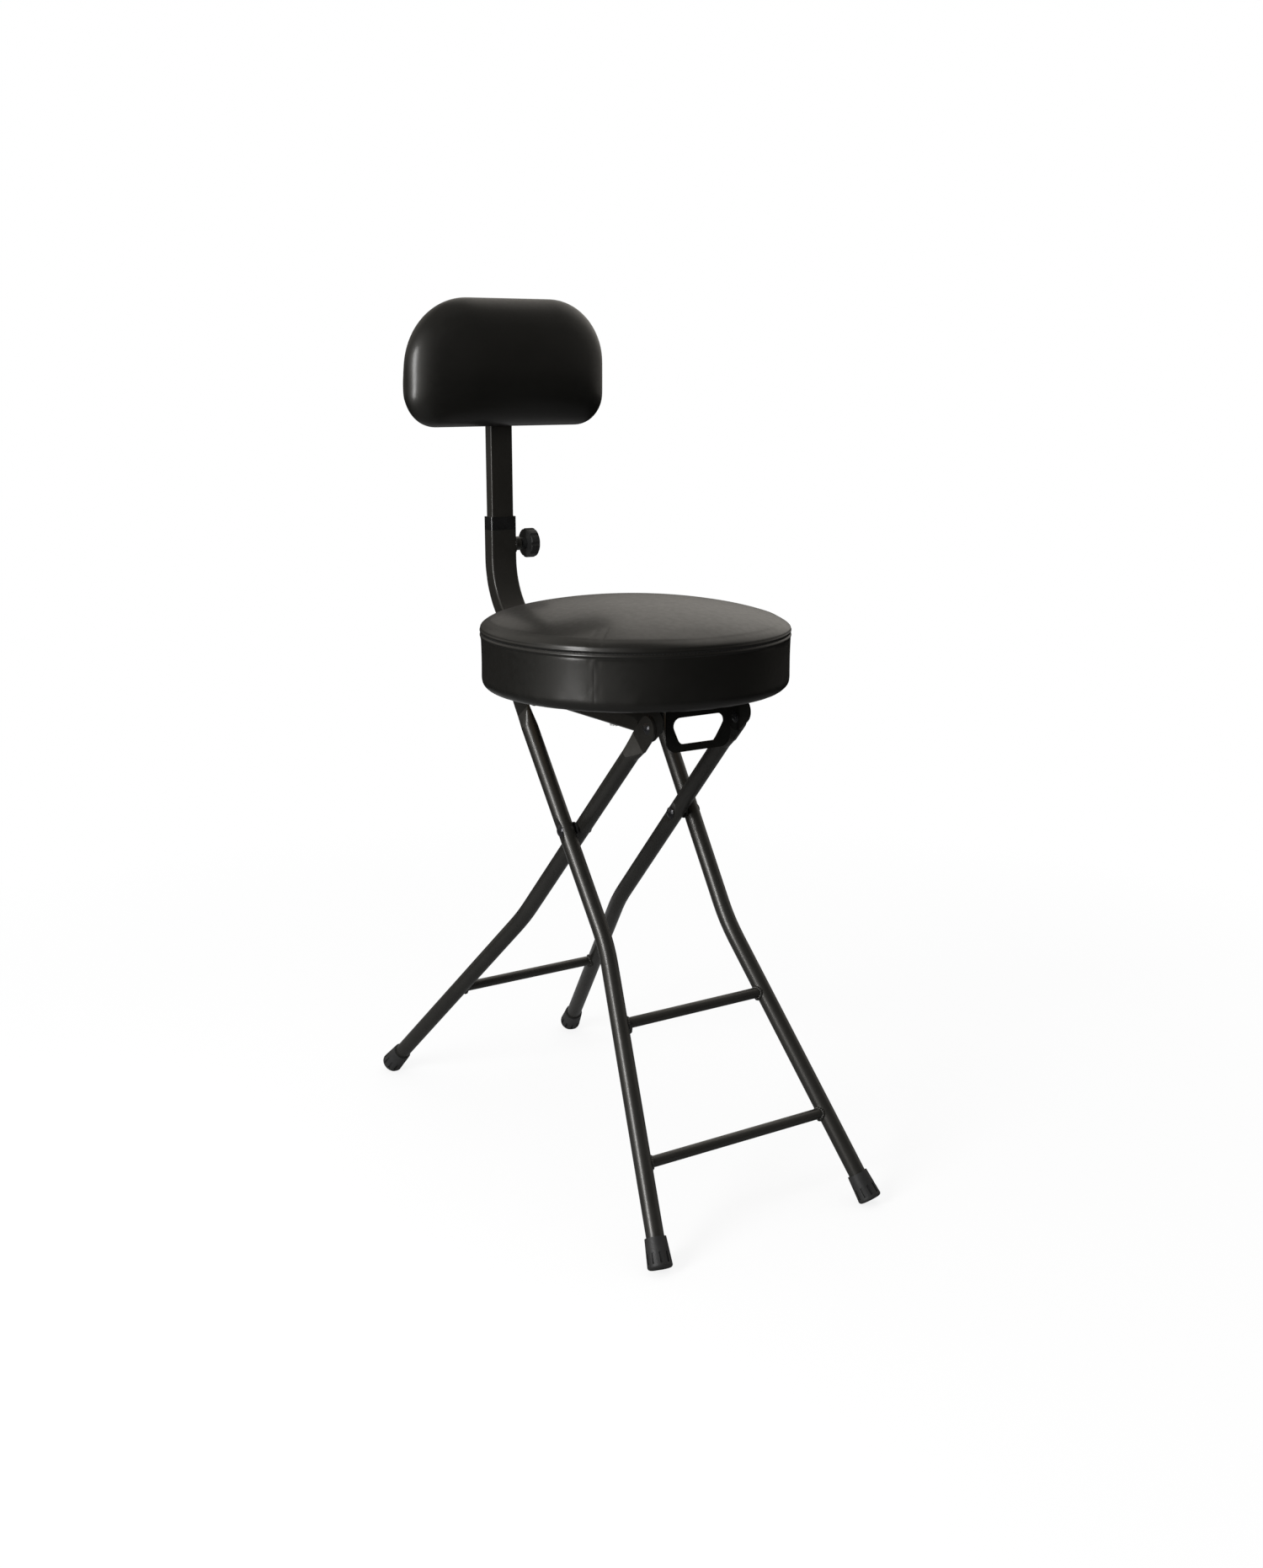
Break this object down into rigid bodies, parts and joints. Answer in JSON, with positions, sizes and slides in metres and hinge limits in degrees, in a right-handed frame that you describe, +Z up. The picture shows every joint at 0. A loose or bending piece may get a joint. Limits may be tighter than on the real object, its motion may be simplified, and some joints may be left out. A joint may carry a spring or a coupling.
{
  "type": "folding guitar stool",
  "caption": "Folding guitar stool with crossed tubular steel legs, foot rungs, a round padded seat that tips up, a front hand hole and a padded backrest on a clamped sliding post.",
  "frame": {"origin": "on the floor, under the middle of the stool's bounding box", "axes": "+Z up, +Y to the back of the stool, +X to the right as seen by someone who looks at the stool's front"},
  "size_m": [0.34, 0.654, 0.9754],
  "materials": {
    "frame_paint": "satin black powder coat",
    "rivet_steel": "blackened steel",
    "zinc_steel": "zinc plated",
    "foot_rubber": "matte moulded rubber",
    "vinyl_cover": "satin black vinyl-coated fabric, an imitation leather, over foam",
    "board_wood": "plywood",
    "knob_plastic": "matte black moulded plastic",
    "collar_plastic": "glossy black moulded plastic"
  },
  "bodies": {
    "rear_frame": {"rear_leg_left": "frame_paint", "rear_leg_right": "frame_paint", "rear_rung": "frame_paint", "rear_foot_left": "foot_rubber", "rear_foot_right": "foot_rubber", "hinge_rivets": "rivet_steel"},
    "front_frame": {"front_leg_left": "frame_paint", "front_leg_right": "frame_paint", "front_rung_upper": "frame_paint", "front_rung_lower": "frame_paint", "front_foot_left": "foot_rubber", "front_foot_right": "foot_rubber", "catch_pins": "rivet_steel", "pivot_rivets": "rivet_steel", "pivot_washers": "knob_plastic"},
    "seat": {"seat_cushion": "vinyl_cover", "seat_board": "board_wood", "hinge_bracket": "frame_paint", "catch_bracket": "frame_paint", "bracket_screws": "zinc_steel", "backrest_arm": "frame_paint", "arm_bolts": "zinc_steel", "tee_nuts": "zinc_steel", "post_collar": "collar_plastic", "clamp_nut": "frame_paint"},
    "knob": {"knob_grip": "knob_plastic", "knob_screw": "zinc_steel"},
    "backrest": {"backrest_post": "frame_paint", "post_cap": "knob_plastic", "backrest_board": "board_wood", "backrest_cushion": "vinyl_cover", "backrest_screws": "rivet_steel"}
  },
  "joints": [
    {"name": "seat_tilt", "type": "hinge", "parent": "rear_frame", "child": "seat", "pos_m": [0, -0.16992, 0.53061], "axis": [1, 0, 0], "range_deg": [0, 130]},
    {"name": "leg_fold", "type": "hinge", "parent": "rear_frame", "child": "front_frame", "pos_m": [0, -0.0458, 0.3975], "axis": [1, 0, 0], "range_deg": [0, 71]},
    {"name": "backrest_height", "type": "slide", "parent": "seat", "child": "backrest", "axis": [0, 0, 1], "range_m": [-0.008, 0.014]},
    {"name": "clamp_knob", "type": "hinge", "parent": "seat", "child": "knob", "pos_m": [0, 0.2462, 0.68401], "axis": [1, 0, 0], "range_deg": [0, 720]}
  ],
  "couplings": [
    {"joint": "leg_fold", "follows": "seat_tilt", "ratio": 0.546}
  ]
}
